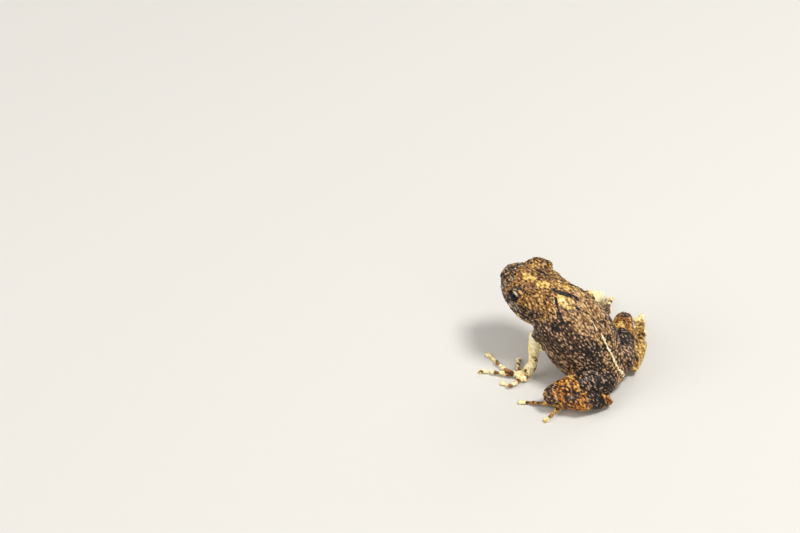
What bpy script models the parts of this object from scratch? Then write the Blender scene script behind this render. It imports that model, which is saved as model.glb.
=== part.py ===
"""A common dink frog, life size, sitting up on its hands with its hind legs folded.

The frog faces -Y with +Z up and its left side at +X. Places are given in
millimetres to the frog's left, ahead of its vent and above the floor. Each part
of the body is a node of its own, and a thin gap parts it from its neighbours.
"""

import math

import bmesh
import bpy
from mathutils import Matrix, Vector

MM = 0.001

# Driving sizes, in millimetres
BODY_WIDTH = 8.0
EYE_RADIUS = 0.80
SOCKET_GAP = 0.15
EYE_HEADING = (0.90, 0.20, 0.38)
JOINT_GAP = 0.30
DIGIT_RADIUS = 0.25
DISC_SHARE = 1.3

# Where the middle of the base lies, so that it becomes the origin
BASE_MIDDLE = Vector((-1.45, -7.955, 0.0))

# The head turns, lifts and tilts a little to its left about the neck
NECK = (0.0, 8.3, 8.8)
HEAD_YAW = math.radians(3.0)
HEAD_PITCH = math.radians(-4.0)
HEAD_TILT = math.radians(3.0)
HEAD_TURN = (Matrix.Rotation(HEAD_YAW, 3, "Z") @ Matrix.Rotation(HEAD_PITCH, 3, "X")
             @ Matrix.Rotation(HEAD_TILT, 3, "Y"))

# Trunk sections from the vent forwards: the back and the belly point of each,
# as (ahead, up) pairs, and the half width as a share of the body's
TRUNK_SECTIONS = (
    ((0.42, 2.95), (1.00, 0.60), 0.30),
    ((1.30, 4.70), (3.20, -0.04), 0.58),
    ((2.60, 6.60), (6.20, 0.34), 0.89),
    ((4.30, 8.35), (8.30, 1.90), 1.00),
    ((6.00, 9.60), (9.50, 3.90), 0.93),
    ((7.60, 10.28), (10.40, 5.50), 0.77),
    ((8.90, 10.50), (11.30, 5.85), 0.70),
)
BELLY_SHARE = 0.44
TRUNK_FULLNESS = 2.3
VENT_REACH = 0.35

# Head sections ahead of the neck: (ahead, half width, jaw level, rise, drop)
HEAD_SECTIONS = (
    (-0.70, 2.60, -0.20, 2.00, 1.90),
    (0.30, 2.70, -0.45, 2.25, 2.20),
    (1.20, 2.85, -0.65, 2.45, 2.80),
    (2.40, 3.20, -0.80, 2.60, 2.90),
    (3.70, 3.45, -0.80, 2.60, 2.55),
    (4.70, 3.20, -0.80, 2.65, 1.95),
    (5.60, 2.78, -0.77, 2.72, 1.48),
    (6.40, 2.34, -0.74, 2.62, 1.18),
    (7.05, 1.80, -0.70, 2.32, 0.92),
)
HEAD_FULLNESS = 2.3
SNOUT_REACH = 0.5

# Forms of the head, as (left, ahead, up) in its own frame at the neck
LID = (2.05, 4.75, 0.75)
LID_SIZE = (1.30, 1.55, 1.25)
SNOUT = (0.0, 6.98, 0.42)
SNOUT_SIZE = (1.50, 1.02, 1.02)
EYE = (2.60, 4.72, 0.86)
NOSTRIL = (0.95, 7.85, 0.70)
NOSTRIL_RADIUS = 0.15
EAR = (3.4, 2.9, -0.1)
EAR_RADIUS = 0.55
EAR_DEPTH = 0.10
MOUTH = (
    (3.4, 3.1, -1.40),
    (3.4, 3.9, -1.28),
    (3.1, 4.9, -1.17),
    (2.6, 6.0, -1.08),
    (2.0, 6.9, -1.02),
    (1.2, 7.7, -0.97),
    (0.0, 8.0, -0.95),
)
MOUTH_RADIUS = 0.10
MOUTH_STEPS = 2

# Limbs: joints as (left, ahead, up), and each digit's middle and tip
LEFT_ARM = {
    "shoulder": (3.15, 8.5, 6.7),
    "elbow": (2.85, 10.2, 4.9),
    "wrist": (3.95, 9.6, 1.2),
    "palm": (4.95, 10.15, 0.40),
    "fingers": (
        ((4.3, 11.3, 0.45), (2.85, 12.15, 0.20)),
        ((5.35, 12.1, 0.50), (4.2, 15.5, 0.20)),
        ((6.0, 12.3, 0.50), (6.9, 14.6, 0.20)),
        ((7.0, 10.35, 0.45), (7.05, 11.6, 0.20)),
    ),
}
RIGHT_ARM = {
    "shoulder": (-3.1, 8.4, 6.75),
    "elbow": (-6.4, 7.7, 5.4),
    "wrist": (-8.8, 7.8, 1.2),
    "palm": (-9.5, 8.4, 0.40),
    "fingers": (
        ((-8.6, 9.6, 0.45), (-7.7, 10.6, 0.20)),
        ((-9.2, 10.3, 0.50), (-8.8, 12.7, 0.20)),
        ((-10.2, 10.1, 0.50), (-10.9, 12.0, 0.20)),
        ((-10.8, 8.7, 0.45), (-11.9, 9.1, 0.20)),
    ),
}
LEFT_LEG = {
    "hip": (2.0, 1.4, 2.2),
    "mid_thigh": (4.4, 3.55, 2.5),
    "knee": (6.8, 5.1, 2.0),
    "mid_shank": (5.6, 2.1, 1.5),
    "heel": (3.2, 0.2, 0.9),
    "instep": (3.95, 2.6, 0.40),
    "ball": (5.9, 4.0, 0.40),
    "toes": (
        ((5.2, 4.9, 0.45), (4.6, 5.6, 0.20)),
        ((5.6, 5.2, 0.45), (5.0, 6.4, 0.20)),
        ((6.2, 5.5, 0.50), (5.5, 6.8, 0.20)),
        ((7.2, 5.9, 0.50), (8.3, 8.3, 0.20)),
        ((7.3, 4.25, 0.45), (9.0, 4.5, 0.20)),
    ),
}
RIGHT_LEG = {
    "hip": (-2.0, 1.5, 2.3),
    "mid_thigh": (-4.6, 3.5, 2.7),
    "knee": (-7.4, 4.8, 2.4),
    "mid_shank": (-5.4, 2.6, 1.75),
    "heel": (-3.0, 0.6, 1.0),
    "instep": (-5.2, 1.2, 0.40),
    "ball": (-7.2, 2.2, 0.40),
    "toes": (
        ((-7.5, 3.4, 0.45), (-7.9, 4.3, 0.20)),
        ((-8.1, 3.4, 0.45), (-9.1, 4.6, 0.20)),
        ((-8.7, 3.3, 0.50), (-10.6, 5.0, 0.20)),
        ((-9.2, 3.1, 0.50), (-11.5, 4.7, 0.20)),
        ((-8.1, 2.5, 0.45), (-9.0, 2.9, 0.20)),
    ),
}
ARM_RADII = (1.05, 0.90, 0.68)
FOREARM_RADII = (0.66, 0.62, 0.47)
THIGH_RADII = (1.30, 1.32, 1.08)
SHANK_RADII = (0.95, 0.95, 0.52)
PALM_SIZE = (0.85, 0.42, 0.44)
SOLE_SIZE = (0.72, 0.42, 0.44)
WRIST_RADIUS = 0.55
ANKLE_RADIUS = 0.48

# The flat cut between trunk and head: a point (ahead, up) and its tilt from upright
NECK_CUT = (9.6, 8.2)
NECK_CUT_TILT = math.radians(24.0)

# Blocks that cut the model at the floor and at the neck
FLOOR_BLOCK = (40.0, 40.0, 2.0)
NECK_BLOCK = (14.0, 14.0, 8.0)

# Plain colours and roughness of the nodes
BACK_SKIN = ((0.200, 0.130, 0.075), 0.62)
HEAD_SKIN = ((0.300, 0.190, 0.085), 0.62)
CREAM_SKIN = ((0.700, 0.560, 0.300), 0.58)
LEG_SKIN = ((0.330, 0.170, 0.065), 0.60)
EYE_SURFACE = ((0.030, 0.020, 0.015), 0.12)


def at(left, ahead, up):
    """A point of the model from millimetres to the left, ahead of the vent and up."""
    return (Vector((left, -ahead, up)) - BASE_MIDDLE) * MM


def in_head(left, ahead, up):
    """A point of the head from millimetres in its own turned frame at the neck."""
    return at(*NECK) + HEAD_TURN @ (Vector((left, -ahead, up)) * MM)


def smooth_values(rows, steps):
    """Values on a Catmull-Rom curve through rows of numbers, steps to a span."""
    padded = [rows[0], *rows, rows[-1]]
    found = []
    for before, here, there, after in zip(padded, padded[1:], padded[2:], padded[3:]):
        for step in range(steps):
            t = step / steps
            found.append([
                0.5 * (2 * b + (c - a) * t + (2 * a - 5 * b + 4 * c - d) * t**2
                       + (3 * b - a - 3 * c + d) * t**3)
                for a, b, c, d in zip(before, here, there, after)
            ])
    found.append(list(rows[-1]))
    return found


def oval(angle, fullness):
    """A point of a unit oval; a fullness over two makes it squarer than an ellipse."""
    across, above = math.cos(angle), math.sin(angle)
    power = 2 / fullness
    return (math.copysign(abs(across) ** power, across), math.copysign(abs(above) ** power, above))


def dome(centre, sizes, outward, share):
    """Rings that close an end like half an ellipsoid, reaching a share of its mean size."""
    reach = sum(sizes) / 3 * share
    rings = []
    for degrees in (28, 52, 74):
        angle = math.radians(degrees)
        shrunk = [size * math.cos(angle) for size in sizes]
        rings.append((centre + outward * reach * math.sin(angle), shrunk))
    return rings, centre + outward * reach


def loft(name, sections, sides=16, steps=2, up_hint=(0, 0, 1), fullness=2.0, grow=0.0,
         ends=(1.0, 1.0)):
    """A closed form through sections of (centre, half width, rise, drop), in metres.

    Each of the two ends is a dome of a given reach, or flat where that is 0.
    """
    rows = [[*centre, *sizes] for centre, *sizes in sections]
    fine = [(Vector(row[:3]), [size + grow for size in row[3:]])
            for row in smooth_values(rows, steps)]
    last = len(fine) - 1
    headings = [(fine[min(i + 1, last)][0] - fine[max(i - 1, 0)][0]).normalized()
                for i in range(last + 1)]
    rings = [(centre, sizes, heading) for (centre, sizes), heading in zip(fine, headings)]
    poles = [None, None]
    for end, share in enumerate(ends):
        centre, sizes, heading = rings[-end]
        outward = heading if end else -heading
        extra = []
        if share:
            extra, poles[end] = dome(centre, sizes, outward, share)
        added = [(spot, size, heading) for spot, size in extra]
        rings = rings + added if end else added[::-1] + rings
    mesh = bmesh.new()
    profile = [oval(math.tau * k / sides, fullness) for k in range(sides)]
    loops = []
    for centre, (width, rise, drop), heading in rings:
        side = Vector(up_hint).cross(heading).normalized()
        up = heading.cross(side)
        loops.append([
            mesh.verts.new(centre + side * width * across + up * (rise if above > 0 else drop) * above)
            for across, above in profile
        ])
    for near, far in zip(loops, loops[1:]):
        for k in range(sides):
            mesh.faces.new((near[k], near[k - 1], far[k - 1], far[k]))
    for loop, pole in zip((loops[0], loops[-1]), poles):
        if pole is None:
            mesh.faces.new(loop)
            continue
        tip = mesh.verts.new(pole)
        for k in range(sides):
            mesh.faces.new((loop[k], loop[k - 1], tip))
    bmesh.ops.recalc_face_normals(mesh, faces=mesh.faces)
    return made_object(name, mesh)


def made_object(name, mesh):
    """Puts a bmesh into the scene as a named object."""
    data = bpy.data.meshes.new(name)
    mesh.to_mesh(data)
    mesh.free()
    piece = bpy.data.objects.new(name, data)
    bpy.context.scene.collection.objects.link(piece)
    return piece


def ball(name, centre, size, turn=None, segments=20):
    """An ellipsoid of half sizes in millimetres, turned by a matrix."""
    mesh = bmesh.new()
    bmesh.ops.create_uvsphere(mesh, u_segments=segments, v_segments=segments // 2, radius=MM)
    shape = Matrix.Diagonal((*size, 1.0))
    if turn is not None:
        shape = turn.to_4x4() @ shape
    bmesh.ops.transform(mesh, matrix=Matrix.Translation(centre) @ shape, verts=mesh.verts)
    return made_object(name, mesh)


def keep_largest(piece):
    """Keeps the largest closed surface of a mesh and drops loose scraps."""
    mesh = bmesh.new()
    mesh.from_mesh(piece.data)
    waiting = set(mesh.verts)
    bodies = []
    while waiting:
        body, front = set(), [waiting.pop()]
        while front:
            vert = front.pop()
            body.add(vert)
            linked = {edge.other_vert(vert) for edge in vert.link_edges} & waiting
            waiting -= linked
            front.extend(linked)
        bodies.append(body)
    bodies.sort(key=len)
    for scrap in bodies[:-1]:
        bmesh.ops.delete(mesh, geom=list(scrap), context="VERTS")
    mesh.to_mesh(piece.data)
    mesh.free()


def combine(piece, others, operation):
    """Applies one Boolean with other objects to a piece, and removes them."""
    group = bpy.data.collections.new("operands")
    for other in others:
        group.objects.link(other)
    modifier = piece.modifiers.new(operation.title(), "BOOLEAN")
    modifier.operation = operation
    modifier.operand_type = "COLLECTION"
    modifier.collection = group
    modifier.solver = "EXACT"
    graph = bpy.context.evaluated_depsgraph_get()
    result = bpy.data.meshes.new_from_object(piece.evaluated_get(graph))
    piece.modifiers.clear()
    piece.data = result
    for other in others:
        bpy.data.objects.remove(other)
    bpy.data.collections.remove(group)
    keep_largest(piece)
    return piece


def rows_of(*rows):
    """Loft sections from (point, radius) or (point, width, rise, drop), sizes in mm."""
    sections = []
    for point, *sizes in rows:
        sizes = sizes * 3 if len(sizes) == 1 else sizes
        sections.append((point, *(size * MM for size in sizes)))
    return sections


def trunk_sections():
    """The trunk's loft sections, from the vent to the neck."""
    sections = []
    for back, belly, share in TRUNK_SECTIONS:
        back_point, belly_point = at(0, *back), at(0, *belly)
        centre = belly_point.lerp(back_point, BELLY_SHARE)
        sections.append((centre, BODY_WIDTH / 2 * share * MM,
                         (back_point - centre).length, (belly_point - centre).length))
    return sections


def trunk_form(name="trunk_form", grow=0.0):
    """The trunk from the vent to a flat end at the neck, grown by some millimetres."""
    return loft(name, trunk_sections(), sides=28, fullness=TRUNK_FULLNESS, grow=grow * MM,
                ends=(VENT_REACH, 0))


def head_form(name="head_form", grow=0.0):
    """The skull and jaws from a flat end inside the neck to the snout."""
    sections = [(in_head(0, ahead, level), width * MM, rise * MM, drop * MM)
                for ahead, width, level, rise, drop in HEAD_SECTIONS]
    return loft(name, sections, sides=28, up_hint=HEAD_TURN @ Vector((0, 0, 1)),
                fullness=HEAD_FULLNESS, grow=grow * MM, ends=(0, SNOUT_REACH))


def upper_arm_form(arm, name="upper_arm_form", grow=0.0):
    """The upper arm with a rounded elbow."""
    shoulder, elbow = at(*arm["shoulder"]), at(*arm["elbow"])
    rows = rows_of((shoulder, ARM_RADII[0]), (shoulder.lerp(elbow, 0.5), ARM_RADII[1]),
                   (elbow, ARM_RADII[2]))
    return loft(name, rows, up_hint=(0, -1, 0), grow=grow * MM)


def forearm_form(arm, name="forearm_form", grow=0.0):
    """The forearm from inside the elbow to the wrist."""
    elbow, wrist = at(*arm["elbow"]), at(*arm["wrist"])
    rows = rows_of((elbow, FOREARM_RADII[0]), (elbow.lerp(wrist, 0.4), FOREARM_RADII[1]),
                   (wrist, FOREARM_RADII[2]))
    return loft(name, rows, up_hint=(0, -1, 0), grow=grow * MM)


def thigh_form(leg, name="thigh_form", grow=0.0):
    """The thigh from inside the hip to a rounded knee."""
    joints = [at(*leg[key]) for key in ("hip", "mid_thigh", "knee")]
    return loft(name, rows_of(*zip(joints, THIGH_RADII)), sides=18, grow=grow * MM)


def shank_form(leg, name="shank_form", grow=0.0):
    """The shank from inside the knee to a rounded heel."""
    joints = [at(*leg[key]) for key in ("knee", "mid_shank", "heel")]
    return loft(name, rows_of(*zip(joints, SHANK_RADII)), sides=18, grow=grow * MM)


def digit(knuckle, middle, tip):
    """A finger or toe from inside the palm to its small flat disc."""
    neck = middle.lerp(tip, 0.62)
    rows = rows_of((knuckle, DIGIT_RADIUS * 1.1), (middle, DIGIT_RADIUS), (neck, DIGIT_RADIUS * 0.9),
                   (tip, DIGIT_RADIUS * DISC_SHARE, DIGIT_RADIUS * 0.9, DIGIT_RADIUS * 0.9))
    return loft("digit", rows, sides=8)


def paw(name, stem, stem_radius, pad, pad_size, digits):
    """A hand or foot: a stem of joints, a flat pad and its digits."""
    rise, drop = pad_size[1:]
    rows = rows_of(*((joint, stem_radius, rise, drop) for joint in stem), (pad, *pad_size))
    fingers = [digit(pad, at(*middle), at(*tip)) for middle, tip in digits]
    return combine(loft(name, rows, sides=12), fingers, "UNION")


def hand(arm, name):
    """The palm and four fingers."""
    wrist, palm = at(*arm["wrist"]), at(*arm["palm"])
    base = wrist.lerp(palm, 0.45)
    return paw(name, (wrist, base), WRIST_RADIUS, palm, PALM_SIZE, arm["fingers"])


def foot(leg, name):
    """The ankle, sole and five toes."""
    heel, instep, sole = (at(*leg[key]) for key in ("heel", "instep", "ball"))
    return paw(name, (heel, instep), ANKLE_RADIUS, sole, SOLE_SIZE, leg["toes"])


def surface_point(piece, place):
    """The nearest point of a piece's skin to a place, and the way out of it."""
    _, point, normal, _ = piece.closest_point_on_mesh(place)
    return point, normal


def mouth_cutter(piece):
    """A thin bent rod along the line of the mouth, from one corner to the other."""
    other_side = [(-left, ahead, up) for left, ahead, up in MOUTH[-2::-1]]
    line = [in_head(*place) for place in [*MOUTH, *other_side]]
    places = [start.lerp(end, step / MOUTH_STEPS)
              for start, end in zip(line, line[1:]) for step in range(MOUTH_STEPS)]
    spots = [surface_point(piece, place)[0] for place in [*places, line[-1]]]
    return loft("mouth", rows_of(*((spot, MOUTH_RADIUS) for spot in spots)), sides=6)


def head():
    """The head with its blunt snout, lids, eye sockets, nostrils, ears and line of the mouth."""
    piece = head_form("head")
    left, ahead, up = LID
    forms = [ball("lid", in_head(side * left, ahead, up), LID_SIZE, HEAD_TURN, segments=28)
             for side in (1, -1)]
    forms.append(ball("snout", in_head(*SNOUT), SNOUT_SIZE, HEAD_TURN, segments=28))
    combine(piece, forms, "UNION")
    cutters = [mouth_cutter(piece)]
    for side in (1, -1):
        nostril, _ = surface_point(piece, in_head(side * NOSTRIL[0], *NOSTRIL[1:]))
        cutters.append(ball("nostril", nostril, (NOSTRIL_RADIUS,) * 3, segments=10))
        ear, out = surface_point(piece, in_head(side * EAR[0], *EAR[1:]))
        turn = out.to_track_quat("Z", "Y").to_matrix()
        cutters.append(ball("ear", ear, (EAR_RADIUS, EAR_RADIUS, EAR_DEPTH), turn, segments=14))
    cutters += [socket_cutter(side) for side in (1, -1)]
    return combine(piece, [*cutters, neck_cutter(-1)], "DIFFERENCE")


def socket_cutter(side):
    """A round-ended hole for an eye, running outwards from the middle of the eyeball."""
    left, ahead, up = EYE_HEADING
    outward = HEAD_TURN @ Vector((side * left, -ahead, up))
    radius = EYE_RADIUS + SOCKET_GAP
    rows = rows_of(*((eye_place(side) + outward * reach * MM, radius) for reach in (0, EYE_RADIUS)))
    return loft("socket", rows, sides=24)


def eye_place(side):
    """The middle of an eyeball; side is 1 on the left and -1 on the right."""
    left, ahead, up = EYE
    return in_head(side * left, ahead, up)


def block(name, size, top, facing):
    """A block in millimetres whose upper face has its middle at a point and a given facing."""
    mesh = bmesh.new()
    bmesh.ops.create_cube(mesh, size=MM)
    turn = facing.to_track_quat("Z", "Y").to_matrix().to_4x4()
    lower = Matrix.Translation((0, 0, -size[2] / 2 * MM))
    place = Matrix.Translation(top) @ turn @ lower @ Matrix.Diagonal((*size, 1))
    bmesh.ops.transform(mesh, matrix=place, verts=mesh.verts)
    return made_object(name, mesh)


def floor_cutter():
    """A wide block below the floor, for the flats that the frog rests on."""
    return block("floor_cutter", FLOOR_BLOCK, Vector(), Vector((0, 0, 1)))


def neck_cutter(side):
    """A block past the cut between trunk and head; side is 1 to end the trunk, -1 the head."""
    ahead = Vector((0, -math.cos(NECK_CUT_TILT), math.sin(NECK_CUT_TILT)))
    face = at(0, *NECK_CUT) - ahead * side * JOINT_GAP / 2 * MM
    return block("neck_cutter", NECK_BLOCK, face, -ahead * side)


def arm_nodes(arm, tag):
    """Upper arm, forearm and hand of one side, parted from what they meet."""
    upper = upper_arm_form(arm, f"upper_arm_{tag}")
    combine(upper, [trunk_form(grow=JOINT_GAP), head_form(grow=JOINT_GAP)], "DIFFERENCE")
    fore = forearm_form(arm, f"forearm_{tag}")
    combine(fore, [upper_arm_form(arm, grow=JOINT_GAP)], "DIFFERENCE")
    palm = hand(arm, f"hand_{tag}")
    combine(palm, [forearm_form(arm, grow=JOINT_GAP), floor_cutter()], "DIFFERENCE")
    return [upper, fore, palm]


def leg_nodes(leg, tag):
    """Thigh, shank and foot of one side, parted from what they meet."""
    thigh = thigh_form(leg, f"thigh_{tag}")
    combine(thigh, [trunk_form(grow=JOINT_GAP)], "DIFFERENCE")
    shank = shank_form(leg, f"shank_{tag}")
    combine(shank, [thigh_form(leg, grow=JOINT_GAP), trunk_form(grow=JOINT_GAP)], "DIFFERENCE")
    sole = foot(leg, f"foot_{tag}")
    near = [shank_form(leg, grow=JOINT_GAP), thigh_form(leg, grow=JOINT_GAP),
            trunk_form(grow=JOINT_GAP), floor_cutter()]
    combine(sole, near, "DIFFERENCE")
    return [thigh, shank, sole]


def finish(piece, colour, roughness):
    """Gives a node its own plain material and smooth shading."""
    material = bpy.data.materials.new(f"{piece.name}_surface")
    material.use_nodes = True
    shader = material.node_tree.nodes["Principled BSDF"]
    shader.inputs["Base Color"].default_value = (*colour, 1.0)
    shader.inputs["Roughness"].default_value = roughness
    shader.inputs["Metallic"].default_value = 0.0
    piece.data.materials.clear()
    piece.data.materials.append(material)
    for face in piece.data.polygons:
        face.use_smooth = True


def centre_origin(piece):
    """Moves a node's origin to the middle of its own box."""
    corners = [Vector(corner) for corner in piece.bound_box]
    middle = sum(corners, Vector()) / len(corners)
    piece.data.transform(Matrix.Translation(-middle))
    piece.location = middle


def build():
    """Makes every node of the frog and finishes it."""
    torso = trunk_form("torso")
    combine(torso, [floor_cutter(), neck_cutter(1)], "DIFFERENCE")
    finish(torso, *BACK_SKIN)
    skull = head()
    finish(skull, *HEAD_SKIN)
    eyes = [ball(f"eye_{tag}", eye_place(side), (EYE_RADIUS,) * 3)
            for side, tag in ((1, "left"), (-1, "right"))]
    for eye in eyes:
        finish(eye, *EYE_SURFACE)
    nodes = [torso, skull, *eyes]
    for tag, arm, leg in (("left", LEFT_ARM, LEFT_LEG), ("right", RIGHT_ARM, RIGHT_LEG)):
        arms, legs = arm_nodes(arm, tag), leg_nodes(leg, tag)
        for piece in arms:
            finish(piece, *CREAM_SKIN)
        for piece in legs:
            finish(piece, *LEG_SKIN)
        nodes += arms + legs
    for piece in nodes:
        centre_origin(piece)


for old in list(bpy.data.objects):
    bpy.data.objects.remove(old)
build()
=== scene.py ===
import math
import random

import bpy
import numpy as np
from mathutils import Matrix, Vector, kdtree, noise


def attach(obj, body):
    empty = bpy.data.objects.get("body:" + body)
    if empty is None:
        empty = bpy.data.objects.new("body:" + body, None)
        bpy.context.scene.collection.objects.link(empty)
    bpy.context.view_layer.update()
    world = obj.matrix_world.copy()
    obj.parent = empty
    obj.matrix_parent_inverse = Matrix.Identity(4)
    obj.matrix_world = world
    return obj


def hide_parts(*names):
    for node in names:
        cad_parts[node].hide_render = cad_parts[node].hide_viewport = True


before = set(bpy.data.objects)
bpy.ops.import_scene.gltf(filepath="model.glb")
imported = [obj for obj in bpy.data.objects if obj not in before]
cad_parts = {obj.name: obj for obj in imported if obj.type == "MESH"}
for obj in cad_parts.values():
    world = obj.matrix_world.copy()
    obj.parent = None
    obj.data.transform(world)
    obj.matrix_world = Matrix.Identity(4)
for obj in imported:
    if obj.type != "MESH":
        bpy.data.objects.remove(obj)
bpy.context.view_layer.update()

# The skin is shaped at a thousand times life size, so that a unit is a millimetre,
# because the smallest distances of the modelling tools are coarse for so small a frog.
ENLARGED = 1000.0
MM = 0.001

# The point on the floor below the vent. Places are given from it, in millimetres
# to the frog's left, ahead and above the floor.
VENT = Vector((1.45, 7.955, 0.0))

# The head's own frame at the neck, turned, lifted and tilted a little
NECK = (0.0, 8.3, 8.8)
HEAD_TURN = (Matrix.Rotation(math.radians(3.0), 3, "Z") @ Matrix.Rotation(math.radians(-4.0), 3, "X")
             @ Matrix.Rotation(math.radians(3.0), 3, "Y"))

SIDES = {"left": 1, "right": -1}
LIMBS = ("upper_arm", "forearm", "hand", "thigh", "shank", "foot")
FLESH = ["torso", "head"] + [f"{limb}_{side}" for limb in LIMBS for side in SIDES]

# Joints and digits of the limbs, in millimetres from the vent
ARMS = {
    "left": {
        "shoulder": (3.15, 8.5, 6.7), "elbow": (2.85, 10.2, 4.9), "wrist": (3.95, 9.6, 1.2),
        "palm": (4.95, 10.15, 0.4),
        "digits": (
            ((4.3, 11.3, 0.45), (2.85, 12.15, 0.20)),
            ((5.35, 12.1, 0.50), (4.2, 15.5, 0.20)),
            ((6.0, 12.3, 0.50), (6.9, 14.6, 0.20)),
            ((7.0, 10.35, 0.45), (7.05, 11.6, 0.20)),
        ),
    },
    "right": {
        "shoulder": (-3.1, 8.4, 6.75), "elbow": (-6.4, 7.7, 5.4), "wrist": (-8.8, 7.8, 1.2),
        "palm": (-9.5, 8.4, 0.4),
        "digits": (
            ((-8.6, 9.6, 0.45), (-7.7, 10.6, 0.20)),
            ((-9.2, 10.3, 0.50), (-8.8, 12.7, 0.20)),
            ((-10.2, 10.1, 0.50), (-10.9, 12.0, 0.20)),
            ((-10.8, 8.7, 0.45), (-11.9, 9.1, 0.20)),
        ),
    },
}
LEGS = {
    "left": {
        "hip": (2.0, 1.4, 2.2), "mid_thigh": (4.4, 3.55, 2.5), "knee": (6.8, 5.1, 2.0),
        "mid_shank": (5.6, 2.1, 1.5), "heel": (3.2, 0.2, 0.9), "instep": (3.95, 2.6, 0.4),
        "ball": (5.9, 4.0, 0.4),
        "digits": (
            ((5.2, 4.9, 0.45), (4.6, 5.6, 0.20)),
            ((5.6, 5.2, 0.45), (5.0, 6.4, 0.20)),
            ((6.2, 5.5, 0.50), (5.5, 6.8, 0.20)),
            ((7.2, 5.9, 0.50), (8.3, 8.3, 0.20)),
            ((7.3, 4.25, 0.45), (9.0, 4.5, 0.20)),
        ),
    },
    "right": {
        "hip": (-2.0, 1.5, 2.3), "mid_thigh": (-4.6, 3.5, 2.7), "knee": (-7.4, 4.8, 2.4),
        "mid_shank": (-5.4, 2.6, 1.75), "heel": (-3.0, 0.6, 1.0), "instep": (-5.2, 1.2, 0.4),
        "ball": (-7.2, 2.2, 0.4),
        "digits": (
            ((-7.5, 3.4, 0.45), (-7.9, 4.3, 0.20)),
            ((-8.1, 3.4, 0.45), (-9.1, 4.6, 0.20)),
            ((-8.7, 3.3, 0.50), (-10.6, 5.0, 0.20)),
            ((-9.2, 3.1, 0.50), (-11.5, 4.7, 0.20)),
            ((-8.1, 2.5, 0.45), (-9.0, 2.9, 0.20)),
        ),
    },
}

# Eyes: the ball's place in the head, its radius and the way it looks (left, ahead, up),
# the pupil's half sizes and its tilt from the head's level, how far the clear front
# bulges, and the cosine of the angle from the middle where the bulge starts
EYE = (2.60, 4.72, 0.86)
EYE_RADIUS = 0.80
EYE_HEADING = Vector((0.90, 0.20, 0.38)).normalized()
PUPIL = (0.60, 0.38)
PUPIL_TILT = math.radians(22.0)
CORNEA = 0.05
CORNEA_START = 0.55

# The rim of the lids: its place out along the eye's heading, its radius and thickness,
# its stretch ahead and across, and its distance from the ball's middle
LID_REACH = 0.40
LID_RADIUS = 0.86
LID_THICKNESS = 0.30
LID_STRETCH = (1.08, 0.88, 1.0)
LID_EDGE = 0.95

# Features of the head, in its own frame. The snout's blunt end is a short roll of flesh
# across it, given by its place ahead and up. The mouth's line runs from its corner to
# the middle, and the upper lip is pressed back under the snout along a line of its own.
SNOUT = (6.98, 0.42)
SNOUT_HALF_WIDTH = 1.5
SNOUT_RADIUS = 1.02
NOSTRIL = (0.95, 7.85, 0.70)
EAR = (3.4, 2.9, -0.1)
EAR_HALF_SIZES = (0.48, 0.52)
MOUTH = [
    (3.4, 3.1, -1.40), (3.4, 3.9, -1.28), (3.1, 4.9, -1.17), (2.6, 6.0, -1.08),
    (2.0, 6.9, -1.02), (1.2, 7.7, -0.97), (0.0, 8.0, -0.95),
]
UPPER_LIP = [(-1.7, 7.4, -0.6), (-0.8, 7.8, -0.6), (0.0, 7.9, -0.6), (0.8, 7.8, -0.6), (1.7, 7.4, -0.6)]

# Brush strokes on each side of the head, as places in its frame, radius and height.
# First the nostril's rim and pit, the snout's edge and the hollow below that edge.
SNOUT_STROKES = [
    ([NOSTRIL], 0.38, 0.10),
    ([NOSTRIL], 0.18, -0.26),
    ([(2.3, 5.9, 0.95), (1.9, 6.5, 0.9), (1.2, 7.0, 0.95)], 0.42, 0.12),
    ([(2.9, 5.7, 0.1), (2.4, 6.4, 0.05), (1.9, 7.0, 0.1)], 0.60, -0.12),
]
# The fold from the eye over the ear with the groove below it, the hollow between the
# lids, the grooves behind and in front of the lid, the step down to the snout, and the
# groove below the eye
LID_STROKES = [
    ([(3.1, 3.9, 0.55), (3.3, 3.1, 0.72), (3.2, 2.4, 0.35), (3.1, 1.9, -0.5)], 0.30, 0.14),
    ([(3.3, 3.2, 0.42), (3.3, 2.55, 0.15), (3.2, 2.2, -0.6)], 0.18, -0.09),
    ([(1.0, 3.9, 1.9), (1.1, 4.8, 2.0), (1.2, 5.6, 1.9)], 0.30, -0.08),
    ([(1.3, 3.1, 1.9), (2.1, 3.0, 1.7), (2.9, 3.4, 1.1)], 0.28, -0.10),
    ([(2.3, 5.6, 1.3), (2.9, 5.4, 0.6), (3.2, 5.2, -0.2)], 0.22, -0.07),
    ([(0.7, 6.2, 1.6), (1.5, 6.0, 1.5), (2.2, 5.8, 1.2)], 0.42, -0.14),
    ([(3.3, 4.9, -0.35), (3.35, 4.2, -0.35), (3.3, 3.6, 0.0)], 0.22, -0.09),
]

# Brush strokes of the mouth and ears, as radius and height: the press on the upper lip,
# the rolls of the two lips with their distance from the mouth's line, the groove between
# them, and the ear's sunk drum and raised ring, which is drawn in steps
LIP_PRESS = (1.0, -0.13)
UPPER_ROLL = (0.26, 0.07)
LOWER_ROLL = (0.26, 0.05)
LIP_DISTANCE = 0.20
MOUTH_GROOVE = (0.16, -0.22)
EAR_DRUM = (0.50, -0.12)
EAR_RING = (0.18, 0.10)
EAR_RING_STEPS = 12

# Skin: the distance at which the solids' corners merge, the swelling that closes the
# joints' gaps, the grid, the rounds and steps of the softening, how much of it the hands,
# feet and lids are spared, and the lids' reach from the eye's middle with its softness
MERGE = 0.002
JOINT_FILL = 0.26
GRID = 0.10
SOFT_ROUNDS = 45
SOFT_STEPS = (0.5, -0.42)
SPARED = 0.8
LID_ZONE = (1.2, 0.5)

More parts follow.
